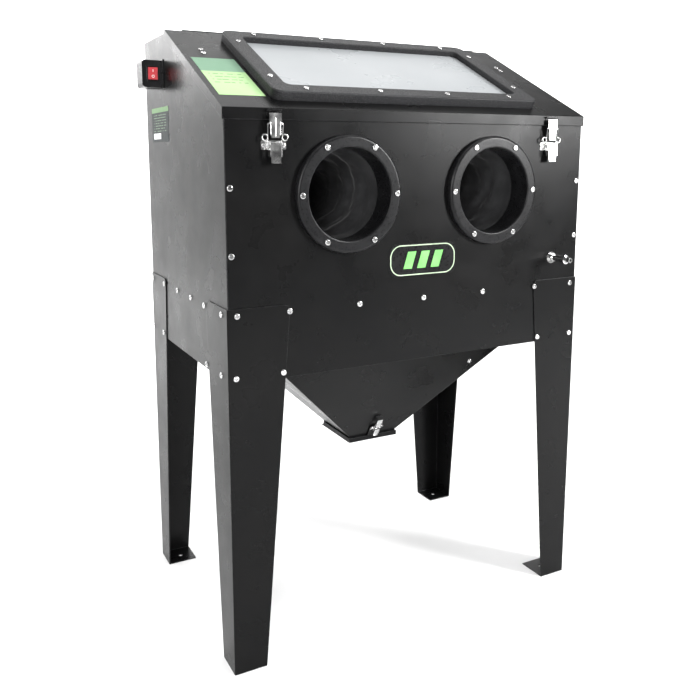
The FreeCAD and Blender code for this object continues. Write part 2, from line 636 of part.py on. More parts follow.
# ---------------------------------------------------------------- inside the cabinet
def work_grate():
    """Bar grate: four flat strips round it, bars between them and two braces under the bars."""
    half_x = HALF_W - 12
    half_y = BACK_Y - 12
    in_x = half_x - 22
    in_y = half_y - 22
    top = GRATE_Z + 5
    pieces = [box(-half_x, -in_x, -half_y, half_y, GRATE_Z, top),
              box(in_x, half_x, -half_y, half_y, GRATE_Z, top),
              box(-in_x, in_x, -half_y, -in_y, GRATE_Z, top),
              box(-in_x, in_x, in_y, half_y, GRATE_Z, top)]
    count = 28
    pitch = 2 * in_x / count
    for i in range(count):
        x = -in_x + (i + 0.5) * pitch
        pieces.append(rod((x, -in_y, GRATE_Z + 2.5), (x, in_y, GRATE_Z + 2.5), 2.2))
    pieces += [box(-in_x - 1.5, in_x + 1.5, y - 3, y + 3, GRATE_Z - 2.5, GRATE_Z) for y in (-90, 90)]
    return Part.makeCompound(pieces)


def grate_rails():
    rails = []
    for s in (-1, 1):
        x_wall = HALF_W - SHEET - SHEET - 0.3
        up = box(x_wall - 2, x_wall, FRONT_Y + 14, BACK_Y - 14, GRATE_Z - 25, GRATE_Z)
        shelf = box(x_wall - 28, x_wall, FRONT_Y + 14, BACK_Y - 14, GRATE_Z - 2, GRATE_Z)
        rail = union([up, shelf])
        rails.append(rail if s > 0 else mirrored(rail))
    return Part.makeCompound(rails)


def lamp_housing():
    body = box(-230, 230, 150, 250, TOP_Z - 42, TOP_Z - SHEET)
    hollow = box(-226, 226, 154, 246, TOP_Z - 43, TOP_Z - 8)
    return rounded(body, 10, straight_along((0, 0, 1))).cut(rounded(hollow, 7, straight_along((0, 0, 1))))


def lamp_lens():
    return rounded(box(-225, 225, 155, 245, TOP_Z - 46, TOP_Z - 37), 6.5, straight_along((0, 0, 1)))


def switch_housing():
    x0 = -HALF_W - SWITCH_OUT
    z0 = SWITCH_Z - SWITCH_TALL / 2
    body = box(x0, -HALF_W, SWITCH_Y + 3, SWITCH_Y + SWITCH_LEN, z0, z0 + SWITCH_TALL)
    back = [e for e in body.Edges if abs(e.CenterOfMass.x - x0) < 1 and e.CenterOfMass.y > SWITCH_Y + 6]
    body = body.makeFillet(9.0, back)
    ears = [box(-HALF_W - 2.5, -HALF_W, SWITCH_Y - 8, SWITCH_Y + 4, z0 - 2, z0 + SWITCH_TALL + 2),
            box(-HALF_W - 2.5, -HALF_W, SWITCH_Y + SWITCH_LEN - 2, SWITCH_Y + SWITCH_LEN + 12,
                z0 + 6, z0 + SWITCH_TALL - 6)]
    hollow = box(x0 + 3, -HALF_W - 3, SWITCH_Y - 1, SWITCH_Y + SWITCH_LEN - 12, z0 + 5, z0 + SWITCH_TALL - 5)
    shell = union([body] + ears).cut(hollow)
    heads = [pan_head((-HALF_W - 2.5, SWITCH_Y - 3.9, SWITCH_Z + 4), (-1, 0, 0), 3.6, 2),
             pan_head((-HALF_W - 2.5, SWITCH_Y + SWITCH_LEN + 6.5, SWITCH_Z), (-1, 0, 0), 3.6, 2)]
    return Part.makeCompound([shell] + heads)


def switch_bezel():
    x0 = -HALF_W - SWITCH_OUT
    z0 = SWITCH_Z - SWITCH_TALL / 2
    plate = box(x0, -HALF_W - 2.5, SWITCH_Y, SWITCH_Y + 3, z0, z0 + SWITCH_TALL)
    plate = rounded(plate, 8, straight_along((0, 1, 0)))
    collar = box(ROCKER_X - ROCKER_HALF - 3, ROCKER_X + ROCKER_HALF + 3, SWITCH_Y - 3, SWITCH_Y + 2,
                 SWITCH_Z - ROCKER_TALL / 2 - 3, SWITCH_Z + ROCKER_TALL / 2 + 3)
    collar = rounded(collar, 3, straight_along((0, 1, 0)))
    well = box(ROCKER_X - ROCKER_HALF - 0.6, ROCKER_X + ROCKER_HALF + 0.6, SWITCH_Y - 4, SWITCH_Y + 9,
               SWITCH_Z - ROCKER_TALL / 2 - 0.6, SWITCH_Z + ROCKER_TALL / 2 + 0.6)
    pin_x = ROCKER_HALF + 2.1
    pin_hole = rod((ROCKER_X - pin_x, SWITCH_Y, SWITCH_Z), (ROCKER_X + pin_x, SWITCH_Y, SWITCH_Z),
                   ROCKER_PIN_R + PIN_CLEAR)
    return union([plate, collar]).cut(well).cut(pin_hole)


def switch_rocker():
    """Rocker with two faces that meet at a shallow angle, on its pivot pin."""
    half = ROCKER_TALL / 2 - 1.2
    y = SWITCH_Y
    outline = [(y - 6.5, half), (y - 2.6, 0), (y - 4.6, -half), (y + 3, -half), (y + 6, 0), (y + 3, half)]
    body = prism_x(outline, ROCKER_X - ROCKER_HALF, ROCKER_X + ROCKER_HALF)
    body.translate(Vector(0, 0, SWITCH_Z))
    pin_x = ROCKER_HALF + 1.8
    pin = rod((ROCKER_X - pin_x, y, SWITCH_Z), (ROCKER_X + pin_x, y, SWITCH_Z), ROCKER_PIN_R)
    return union([body, pin])


# ---------------------------------------------------------------- air and dust connections
def air_inlet_body():
    y = FRONT_Y
    flange = rod((INLET_X, y - 3, INLET_Z), (INLET_X, y, INLET_Z), 14)
    hexagon = prism_y_hex(INLET_X, INLET_Z, 10.5, y - 11, y - 3)
    neck = rod((INLET_X, y - 24, INLET_Z), (INLET_X, y - 10, INLET_Z), 6.8)
    thread = rod((INLET_X, y - 4, INLET_Z), (INLET_X, y + 34, INLET_Z), INLET_THREAD_R)
    body = union([flange, hexagon, neck, thread])
    return body.cut(rod((INLET_X, y - 30, INLET_Z), (INLET_X, y + 40, INLET_Z), 4))


def air_inlet_nut():
    y = FRONT_Y + SHEET
    nut = prism_y_hex(INLET_X, INLET_Z, 12.5, y, y + 8)
    return nut.cut(rod((INLET_X, y - 1, INLET_Z), (INLET_X, y + 9, INLET_Z), INLET_THREAD_R + 0.02))


def air_inlet_plug():
    y = FRONT_Y - 24
    profile = [(0, 7.8), (21, 7.8), (23, 8.6), (25, 10.6), (29, 10.6), (30.5, 7.2), (35, 5.6), (39.5, 5.2),
               (40.5, 6.2), (43, 6.2), (44, 5.6)]
    points = [Vector(INLET_X, y, INLET_Z)] + [Vector(INLET_X, y - t, INLET_Z + r) for t, r in profile]
    points.append(Vector(INLET_X, y - profile[-1][0], INLET_Z))
    face = Part.Face(Part.makePolygon(points + points[:1]))
    body = face.revolve(Vector(INLET_X, 0, INLET_Z), Vector(0, 1, 0), 360)
    return body.cut(rod((INLET_X, y - 50, INLET_Z), (INLET_X, y + 1, INLET_Z), 3))


def exhaust_collar():
    flange = rod((0, BACK_Y, EXHAUST_Z), (0, BACK_Y + 3, EXHAUST_Z), EXHAUST_R + 14)
    tube = rod((0, BACK_Y, EXHAUST_Z), (0, BACK_Y + 32, EXHAUST_Z), EXHAUST_R)
    body = union([flange, tube])
    return body.cut(rod((0, BACK_Y - 1, EXHAUST_Z), (0, BACK_Y + 33, EXHAUST_Z), EXHAUST_R - 2.5))


# ---------------------------------------------------------------- blast gun in its holder
def gun_holder():
    """Bent bracket on the right wall with a ring that the gun's barrel hangs in."""
    wall = HALF_W - SHEET
    foot = box(wall - 2, wall, GUN_Y - 20, GUN_Y + 20, GUN_Z + 18, GUN_Z + 58)
    arm = box(GUN_X - 14, wall, GUN_Y - 19, GUN_Y + 19, GUN_Z + 18, GUN_Z + 21)
    ring = rod((GUN_X, GUN_Y, GUN_Z + 17), (GUN_X, GUN_Y, GUN_Z + 22), 13)
    return union([foot, arm]).cut(ring)


def blast_gun_body():
    barrel = rod((GUN_X, GUN_Y, GUN_Z - 20), (GUN_X, GUN_Y, GUN_Z + 52), 12)
    seat = rod((GUN_X, GUN_Y, GUN_Z + 21.2), (GUN_X, GUN_Y, GUN_Z + 27), 17)
    grip = box(GUN_X - 9, GUN_X + 9, GUN_Y - 84, GUN_Y - 8, GUN_Z + 31, GUN_Z + 57)
    grip = rounded(grip, 7, straight_along((0, 1, 0)))
    inlet = rod((GUN_X, GUN_Y - 102, GUN_Z + 44), (GUN_X, GUN_Y - 82, GUN_Z + 44), 7)
    return union([barrel, seat, grip, inlet])


def blast_gun_nozzle():
    tip = rod((GUN_X, GUN_Y, GUN_Z - 58), (GUN_X, GUN_Y, GUN_Z - 20), 9)
    cap = rod((GUN_X, GUN_Y, GUN_Z - 34), (GUN_X, GUN_Y, GUN_Z - 20), 12.5)
    return union([tip, cap]).cut(rod((GUN_X, GUN_Y, GUN_Z - 59), (GUN_X, GUN_Y, GUN_Z - 19), 4))


# ---------------------------------------------------------------- screws, badge and labels
def pan_head_screws():
    spots = []
    for x in (-326.5, 326.5, -441.5, 441.5):
        spots.append(((x, FRONT_Y - LEG_T, 780), (0, -1, 0)))
    for x in (-160, 5, 171):
        spots.append(((x, FRONT_Y, 780), (0, -1, 0)))
    for x in (-342, 342, -446, 446):
        spots.append(((x, FRONT_Y - LEG_T, 652), (0, -1, 0)))
    for s in (-1, 1):
        for z in (900, 1034):
            spots.append(((s * (HALF_W - 10), FRONT_Y, z), (0, -1, 0)))
        side = s * HALF_W
        skin = s * (HALF_W + LEG_T)
        for y in (-260, -150, 168, 275):
            spots.append(((skin, y, 780), (s, 0, 0)))
        for y in (-46, 60):
            spots.append(((side, y, 780), (s, 0, 0)))
        for y in (-253, -157, 187, 281):
            spots.append(((skin, y, 652), (s, 0, 0)))
        for x in (327, 441):
            for z in (652, 780):
                spots.append(((s * x, BACK_Y + LEG_T, z), (0, 1, 0)))
        for z in (900, 1034, 1200):
            spots.append(((s * (HALF_W - 10), BACK_Y, z), (0, 1, 0)))
        for k in range(6):
            a = math.radians(60 * k)
            x = s * PORT_X + RING_SCREW_R * math.cos(a)
            spots.append(((x, FRONT_Y - RING_T, PORT_Z + RING_SCREW_R * math.sin(a)), (0, -1, 0)))
    lean = math.radians(HOPPER_LEAN)
    y = -OUTLET_Y - (HOPPER_SCREW_Z - OUTLET_TOP_Z) * math.tan(lean)
    spots.append(((HOPPER_SCREW_X, y, HOPPER_SCREW_Z), (0, -math.cos(lean), -math.sin(lean))))
    return Part.makeCompound([pan_head(p, out, 6.5, 3.2) for p, out in spots])


def badge():
    plate = box(-86, 90, FRONT_Y - 0.8, FRONT_Y, 831, 903)
    return rounded(plate, 18, straight_along((0, 1, 0)))


def side_label():
    return box(-HALF_W - 0.5, -HALF_W, 91, 238, 1130, 1212)


def lid_label():
    return on_lid(box(-450, -352, 58, 258, 0, 0.5))


# ---------------------------------------------------------------- write every node
add("front_panel", front_panel())
add("left_side_panel", side_panel())
add("right_side_panel", mirrored(side_panel()))
add("rear_panel", rear_panel())
add("rear_top_cover", rear_top_cover())
add("hopper", hopper())
for side_name, left in (("left", True), ("right", False)):
    add("front_" + side_name + "_leg", leg(left, True))
    add("rear_" + side_name + "_leg", leg(left, False))
add("work_grate", work_grate())
add("grate_rails", grate_rails())
for side_name, s in (("left", -1), ("right", 1)):
    add(side_name + "_arm_ring", arm_ring(s * PORT_X))
    add(side_name + "_glove", glove(s * PORT_X))
    add(side_name + "_latch_base", at_latch(latch_base(), s))
    add(side_name + "_latch_lever", at_latch(latch_lever(), s))
    add(side_name + "_latch_claw", at_latch(latch_claw(), s))
    add(side_name + "_stay_arm", stay_arm() if s > 0 else mirrored(stay_arm()))
    add(side_name + "_stay_guide", stay_guide() if s > 0 else mirrored(stay_guide()))
    add(side_name + "_stay_bracket", stay_bracket() if s > 0 else mirrored(stay_bracket()))
add("lid_seal", lid_seal())
add("lid_panel", lid_panel())
add("window_frame", window_frame())
add("window_glass", window_pane(GASKET_T, GASKET_T + GLASS_T, False))
add("window_gasket", window_pane(0, GASKET_T, True))
add("lid_screws", lid_screws())
add("lid_hinge_leaf", lid_hinge_leaf())
add("lid_hinge_pin", rod((-421, HINGE_Y, HINGE_Z), (421, HINGE_Y, HINGE_Z), LID_PIN_R))
add("hinge_fixed_leaf", hinge_fixed_leaf())
catches = [at_latch(latch_catch(), s) for s in (-1, 1)]
for catch in catches:
    catch.translate(Vector(0, -LID_OVERHANG, 0))
add("lid_catches", Part.makeCompound(catches))
add("lid_label", lid_label())
add("lamp_housing", lamp_housing())
add("lamp_lens", lamp_lens())
add("switch_housing", switch_housing())
add("switch_bezel", switch_bezel())
add("switch_rocker", switch_rocker())
add("air_inlet_body", air_inlet_body())
add("air_inlet_nut", air_inlet_nut())
add("air_inlet_plug", air_inlet_plug())
add("exhaust_collar", exhaust_collar())
add("gun_holder", gun_holder())
add("blast_gun", Part.makeCompound([blast_gun_body(), blast_gun_nozzle()]))
add("dump_door", dump_door())
add("dump_hinge_leaf", Part.makeCompound([dump_hinge_leaf(), dump_hinge_pin()]))
add("dump_door_gasket", box(-OUTLET_X - 1, OUTLET_X + 1, -OUTLET_Y - 1, OUTLET_Y,
                            DOOR_Z + SHEET, OUTLET_Z - 0.3))
add("dump_latch_base", at_dump(latch_base()))
add("dump_latch_lever", at_dump(latch_lever()))
add("dump_latch_claw", at_dump(latch_claw()))
add("hopper_catch", at_dump(latch_catch(), -DUMP_STANDOFF))
add("pan_head_screws", pan_head_screws())
add("badge", badge())
add("side_label", side_label())
print(len(nodes), "nodes")
for name, shape in nodes.items():
    if not shape.isValid():
        print("not valid:", name)
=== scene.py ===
import math

import bmesh
import bpy
from mathutils import Euler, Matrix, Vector, noise
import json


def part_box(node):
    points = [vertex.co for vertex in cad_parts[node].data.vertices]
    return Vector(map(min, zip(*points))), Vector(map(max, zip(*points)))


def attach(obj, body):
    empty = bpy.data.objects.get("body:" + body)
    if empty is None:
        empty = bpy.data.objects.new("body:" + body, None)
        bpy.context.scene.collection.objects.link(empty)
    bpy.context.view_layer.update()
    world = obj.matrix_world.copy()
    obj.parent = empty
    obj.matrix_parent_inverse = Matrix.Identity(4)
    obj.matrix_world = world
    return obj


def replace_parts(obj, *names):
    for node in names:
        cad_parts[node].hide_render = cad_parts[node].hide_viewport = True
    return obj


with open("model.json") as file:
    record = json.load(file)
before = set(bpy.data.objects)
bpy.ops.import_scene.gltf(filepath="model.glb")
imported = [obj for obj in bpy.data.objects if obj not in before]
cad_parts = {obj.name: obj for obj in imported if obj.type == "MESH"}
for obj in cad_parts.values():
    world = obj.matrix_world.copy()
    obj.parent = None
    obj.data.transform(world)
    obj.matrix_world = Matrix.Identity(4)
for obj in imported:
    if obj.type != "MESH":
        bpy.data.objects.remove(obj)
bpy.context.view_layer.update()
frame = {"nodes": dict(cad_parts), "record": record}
NODES = frame["nodes"]


# ------------------------------------------------------------------ small node-tree helpers
class Look:
    """One procedural material, built on the object's own coordinates in metres."""

    def __init__(self, name):
        self.mat = bpy.data.materials.new(name)
        self.mat.use_nodes = True
        self.tree = self.mat.node_tree
        self.shader = self.tree.nodes["Principled BSDF"]
        self.coord = self.tree.nodes.new("ShaderNodeTexCoord").outputs["Object"]

    def set(self, **values):
        for key, value in values.items():
            self.shader.inputs[key.replace("_", " ")].default_value = value
        return self

    def link(self, source, socket):
        self.tree.links.new(source, self.shader.inputs[socket])

    def node(self, kind, inputs=(), **settings):
        made = self.tree.nodes.new("ShaderNode" + kind)
        for key, value in settings.items():
            setattr(made, key, value)
        for key, value in inputs:
            if isinstance(value, bpy.types.NodeSocket):
                self.tree.links.new(value, made.inputs[key])
            else:
                made.inputs[key].default_value = value
        return made

    def noise(self, scale, detail=2.0, rough=0.5, stretch=None):
        vector = self.coord
        if stretch:
            vector = self.node("Mapping", [("Vector", vector), ("Scale", stretch)]).outputs["Vector"]
        return self.node("TexNoise", [("Vector", vector), ("Scale", scale), ("Detail", detail),
                                      ("Roughness", rough)]).outputs["Fac"]

    def remap(self, value, low, high, to_low, to_high):
        return self.node("MapRange", [("Value", value), ("From Min", low), ("From Max", high),
                                      ("To Min", to_low), ("To Max", to_high)]).outputs["Result"]

    def mix(self, factor, a, b):
        made = self.node("Mix", data_type="RGBA")
        self.tree.links.new(factor, made.inputs["Factor"])
        for slot, value in (("A", a), ("B", b)):
            socket = [s for s in made.inputs if s.name == slot and s.type == "RGBA"][0]
            if isinstance(value, bpy.types.NodeSocket):
                self.tree.links.new(value, socket)
            else:
                socket.default_value = (*value, 1.0)
        return [s for s in made.outputs if s.type == "RGBA"][0]

    def math(self, operation, a, b=0.0):
        return self.node("Math", [(0, a), (1, b)], operation=operation).outputs["Value"]

    def bump(self, height, strength, distance, before=None):
        inputs = [("Height", height), ("Strength", strength), ("Distance", distance)]
        if before:
            inputs.append(("Normal", before))
        return self.node("Bump", inputs).outputs["Normal"]


def powder_coat(name, base, lift, gloss, grain):
    """Satin black powder coat: fine orange peel, cloudiness, and edges painted paler, partly as wear and
    partly as a painted edge highlight.
    """
    look = Look(name).set(Metallic=0.0, Specular_IOR_Level=0.12)
    cloud = look.noise(4.0, 4.0, 0.6)
    colour = look.mix(look.remap(cloud, 0.35, 0.7, 0.0, 1.0), base, lift)
    bevel = look.node("Bevel", [("Radius", 0.0016)], samples=4).outputs["Normal"]
    face = look.node("NewGeometry").outputs["True Normal"]
    lean = look.node("VectorMath", [(0, bevel), (1, face)], operation="DOT_PRODUCT").outputs["Value"]
    # paler colour along the edges: partly wear, partly a painted highlight where the rims catch light
    edge = look.remap(lean, 0.97, 0.75, 0.0, 1.0)
    wear_and_edge_highlight = look.math("MULTIPLY", edge, look.remap(look.noise(60.0, 4.0), 0.35, 0.65, 0.25, 0.8))
    look.link(look.mix(wear_and_edge_highlight, colour, (0.085, 0.085, 0.088)), "Base Color")
    look.link(look.remap(look.noise(14.0, 4.0), 0.3, 0.7, gloss - 0.04, gloss + 0.05), "Roughness")
    peel = look.bump(look.noise(grain, 2.0, 0.6), 0.2, 0.0004, bevel)
    look.link(look.bump(look.noise(2.0, 1.0), 0.05, 0.004, peel), "Normal")
    return look.mat


def brushed_metal(name, dark, bright, roughness, stretch):
    look = Look(name).set(Metallic=1.0)
    streak = look.noise(260.0, 3.0, 0.6, stretch)
    blotch = look.noise(45.0, 3.0)
    tone = look.math("ADD", look.math("MULTIPLY", streak, 0.5), look.math("MULTIPLY", blotch, 0.5))
    look.link(look.mix(look.remap(tone, 0.35, 0.65, 0.0, 1.0), dark, bright), "Base Color")
    look.link(look.remap(blotch, 0.3, 0.7, roughness - 0.07, roughness + 0.08), "Roughness")
    look.link(look.bump(streak, 0.12, 0.0002), "Normal")
    return look.mat


def rubber(name, base, roughness):
    look = Look(name).set(Specular_IOR_Level=0.35, Sheen_Weight=0.25, Sheen_Roughness=0.4)
    chalk = look.remap(look.noise(22.0, 4.0, 0.65), 0.45, 0.75, 0.0, 0.6)
    look.link(look.mix(chalk, base, tuple(c * 1.9 + 0.008 for c in base)), "Base Color")
    look.link(look.remap(look.noise(60.0, 3.0), 0.3, 0.7, roughness - 0.08, roughness + 0.1), "Roughness")
    fine = look.bump(look.noise(1400.0, 2.0), 0.25, 0.0003)
    look.link(look.bump(look.noise(70.0, 2.0), 0.2, 0.001, fine), "Normal")
    return look.mat


def moulded(name, base, roughness, shine=0.5):
    """Injection-moulded plastic with a fine spark-eroded grain."""
    look = Look(name).set(Specular_IOR_Level=shine)
    look.link(look.mix(look.remap(look.noise(30.0, 3.0), 0.35, 0.7, 0.0, 1.0), base,
                       tuple(c * 1.5 + 0.002 for c in base)), "Base Color")
    look.link(look.remap(look.noise(240.0, 2.0), 0.3, 0.7, roughness - 0.05, roughness + 0.06), "Roughness")
    cells = look.node("TexVoronoi", [("Vector", look.coord), ("Scale", 1600.0)]).outputs["Distance"]
    soft_edge = look.node("Bevel", [("Radius", 0.0015)], samples=4).outputs["Normal"]
    look.link(look.bump(cells, 0.16, 0.0002, soft_edge), "Normal")
    return look.mat


def hammered(name):
    """Speckled dark grey textured paint of the window frame."""
    look = Look(name).set(Specular_IOR_Level=0.22)
    cells = look.node("TexVoronoi", [("Vector", look.coord), ("Scale", 420.0)]).outputs["Distance"]
    speck = look.remap(look.noise(650.0, 3.0, 0.7), 0.52, 0.66, 0.0, 1.0)
    look.link(look.mix(speck, (0.012, 0.012, 0.013), (0.060, 0.060, 0.063)), "Base Color")
    look.link(look.remap(cells, 0.1, 0.8, 0.38, 0.62), "Roughness")
    fine = look.bump(cells, 0.45, 0.0005)
    look.link(look.bump(look.noise(650.0, 3.0, 0.7), 0.5, 0.0005, fine), "Normal")
    return look.mat


def pane_glass():
    """Window glass under its pale protective film."""
    look = Look("glass_film").set(Transmission_Weight=0.10, IOR=1.5, Specular_IOR_Level=0.12)
    haze = look.remap(look.noise(2.2, 3.0), 0.3, 0.7, 0.0, 1.0)
    look.link(look.mix(haze, (0.29, 0.305, 0.315), (0.37, 0.385, 0.395)), "Base Color")
    look.link(look.remap(look.noise(9.0, 4.0), 0.3, 0.7, 0.24, 0.36), "Roughness")
    look.link(look.bump(look.noise(6.0, 2.0), 0.05, 0.002), "Normal")
    return look.mat


def printed_label(name, ground, heading, ink, across, up, origin, size, split):
    """Plain printed label: ground, a heading band above split and rows of broken lines, with no letters.

    across and up are unit vectors in the label's plane; its surface runs from 0 to 1 along each.
    """
    look = Look(name).set(Specular_IOR_Level=0.10)

    def along(direction, length):
        offset = look.node("VectorMath", [(0, look.coord), (1, origin)], operation="SUBTRACT")
        dot = look.node("VectorMath", [(0, offset.outputs["Vector"]), (1, direction)],
                        operation="DOT_PRODUCT")
        return look.math("DIVIDE", dot.outputs["Value"], length)

    line_count = 13.0
    u, v = along(across, size[0]), along(up, size[1])
    cloud = look.remap(look.noise(9.0, 3.0), 0.3, 0.7, 0.0, 1.0)
    tone = look.mix(cloud, ground, tuple(c * 1.12 for c in ground))
    tone = look.mix(look.math("GREATER_THAN", v, split), tone, heading)
    rows = look.math("LESS_THAN", look.math("FRACT", look.math("MULTIPLY", v, line_count)), 0.3)
    cell = look.node("CombineXYZ", [("X", look.math("MULTIPLY", u, 9.0)),
                                    ("Y", look.math("FLOOR", look.math("MULTIPLY", v, line_count)))])
    dashes = look.node("TexNoise", [("Vector", cell.outputs["Vector"]), ("Scale", 1.0),
                                    ("Detail", 3.0)]).outputs["Fac"]
    print_area = look.math("MULTIPLY", look.math("GREATER_THAN", u, 0.12), look.math("LESS_THAN", u, 0.86))
    print_area = look.math("MULTIPLY", print_area, look.math("LESS_THAN", v, split - 0.06))
    print_area = look.math("MULTIPLY", print_area, look.math("GREATER_THAN", v, 0.3))
    broken = look.math("MULTIPLY", rows, look.math("GREATER_THAN", dashes, 0.47))
    marks = look.math("MULTIPLY", broken, print_area)
    look.link(look.mix(look.math("MULTIPLY", marks, 0.6), tone, ink), "Base Color")
    look.link(look.remap(look.noise(50.0, 3.0), 0.3, 0.7, 0.5, 0.62), "Roughness")
    look.link(look.bump(look.noise(300.0, 2.0), 0.08, 0.0002), "Normal")
    return look.mat


lid_low, lid_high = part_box("lid_label")
side_low, side_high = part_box("side_label")
lid_rise = Vector((0.0, lid_high.y - lid_low.y, lid_high.z - lid_low.z))
MATERIALS = {
    "painted": powder_coat("black_powder_coat", (0.0026, 0.0027, 0.0029), (0.0042, 0.0041, 0.0041), 0.29,
                           520.0),
    "moulded": moulded("black_moulding", (0.0055, 0.0055, 0.006), 0.30, 0.16),
    "frame": hammered("hammered_grey"),
    "glass": pane_glass(),
    "rubber": rubber("black_rubber", (0.024, 0.024, 0.025), 0.38),
    "foam": rubber("foam_strip", (0.025, 0.025, 0.026), 0.85),
    "zinc": brushed_metal("bright_zinc", (0.34, 0.34, 0.345), (0.78, 0.78, 0.77), 0.17, (1.0, 1.0, 6.0)),
    "steel": brushed_metal("galvanised_steel", (0.38, 0.39, 0.40), (0.62, 0.63, 0.64), 0.40, (1.0, 5.0, 1.0)),
    "alu": brushed_metal("cast_alloy", (0.50, 0.50, 0.51), (0.66, 0.66, 0.67), 0.46, (1.0, 1.0, 1.0)),
    "gloss": moulded("gloss_black", (0.006, 0.006, 0.0065), 0.14),
    "red": moulded("red_rocker", (0.52, 0.055, 0.065), 0.16),
    "lens": moulded("lamp_lens", (0.72, 0.73, 0.74), 0.30),
    "label_green": printed_label("label_pale_green", (0.35, 0.54, 0.26), (0.17, 0.29, 0.20),
                                 (0.07, 0.12, 0.07), (1, 0, 0), lid_rise.normalized(), lid_low,
                                 (lid_high.x - lid_low.x, lid_rise.length), 0.62),
    "label_dark": printed_label("label_dark", (0.040, 0.046, 0.047), (0.20, 0.33, 0.17), (0.30, 0.42, 0.28),
                                (0, -1, 0), (0, 0, 1), (side_low.x, side_high.y, side_low.z),
                                (side_high.y - side_low.y, side_high.z - side_low.z), 0.86),
    "badge": moulded("badge_ground", (0.004, 0.004, 0.0043), 0.30, 0.14),
}
for part in frame["record"]["subparts"]:
    node = NODES[part["node"]]
    for slot in node.material_slots:
        slot.material = MATERIALS[part["material_slot"]]


# ------------------------------------------------------------------ modelled pieces
def new_piece(name, bm, material, body, smooth=True):
    mesh = bpy.data.meshes.new(name)
    bmesh.ops.recalc_face_normals(bm, faces=bm.faces)
    bm.to_mesh(mesh)
    bm.free()
    for face in mesh.polygons:
        face.use_smooth = smooth
    mesh.materials.append(material)
    piece = bpy.data.objects.new(name, mesh)
    bpy.context.collection.objects.link(piece)
    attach(piece, body)
    return piece


def loft(bm, rings, cap_start=False, cap_end=False):
    """Closed rings of points joined one to the next."""
    rows = [[bm.verts.new(p) for p in ring] for ring in rings]
    count = len(rows[0])
    for a, b in zip(rows, rows[1:]):
        for i in range(count):
            k = (i + 1) % count
            bm.faces.new((a[i], a[k], b[k], b[i]))
    for wanted, row in ((cap_start, rows[0]), (cap_end, rows[-1])):
        if wanted:
            bm.faces.new(row)


def between(table, x):
    """Straight-line reading of a table of (x, value) pairs."""
    for (x0, v0), (x1, v1) in zip(table, table[1:]):
        if x <= x1:
            return v0 + (v1 - v0) * max(0.0, x - x0) / (x1 - x0)
    return table[-1][1]


def smooth_step(x, low, high):
    t = min(1.0, max(0.0, (x - low) / (high - low)))
    return t * t * (3 - 2 * t)


def finger(bm, start, end, radius, bend):
    """Rubber finger: a bent, rounded tube from start to end."""
    start, end = Vector(start), Vector(end)
    aim = (end - start).normalized()
    side = aim.cross(Vector((0, 0, 1))).normalized()
    over = side.cross(aim).normalized()
    rings = []
    steps = 14
    for k in range(steps + 1):
        t = k / steps
        middle = start.lerp(end, t) - over * bend * t * t
        swell = radius * (1 + 0.06 * math.cos(t * math.tau * 2.0))
        if t > 0.8:
            swell *= math.sqrt(max(0.02, 1 - ((t - 0.8) / 0.2) ** 2))
        rings.append([middle + (side * math.cos(a) + over * math.sin(a)) * swell
                      for a in [math.tau * i / 20 for i in range(20)]])
    loft(bm, rings, True, True)


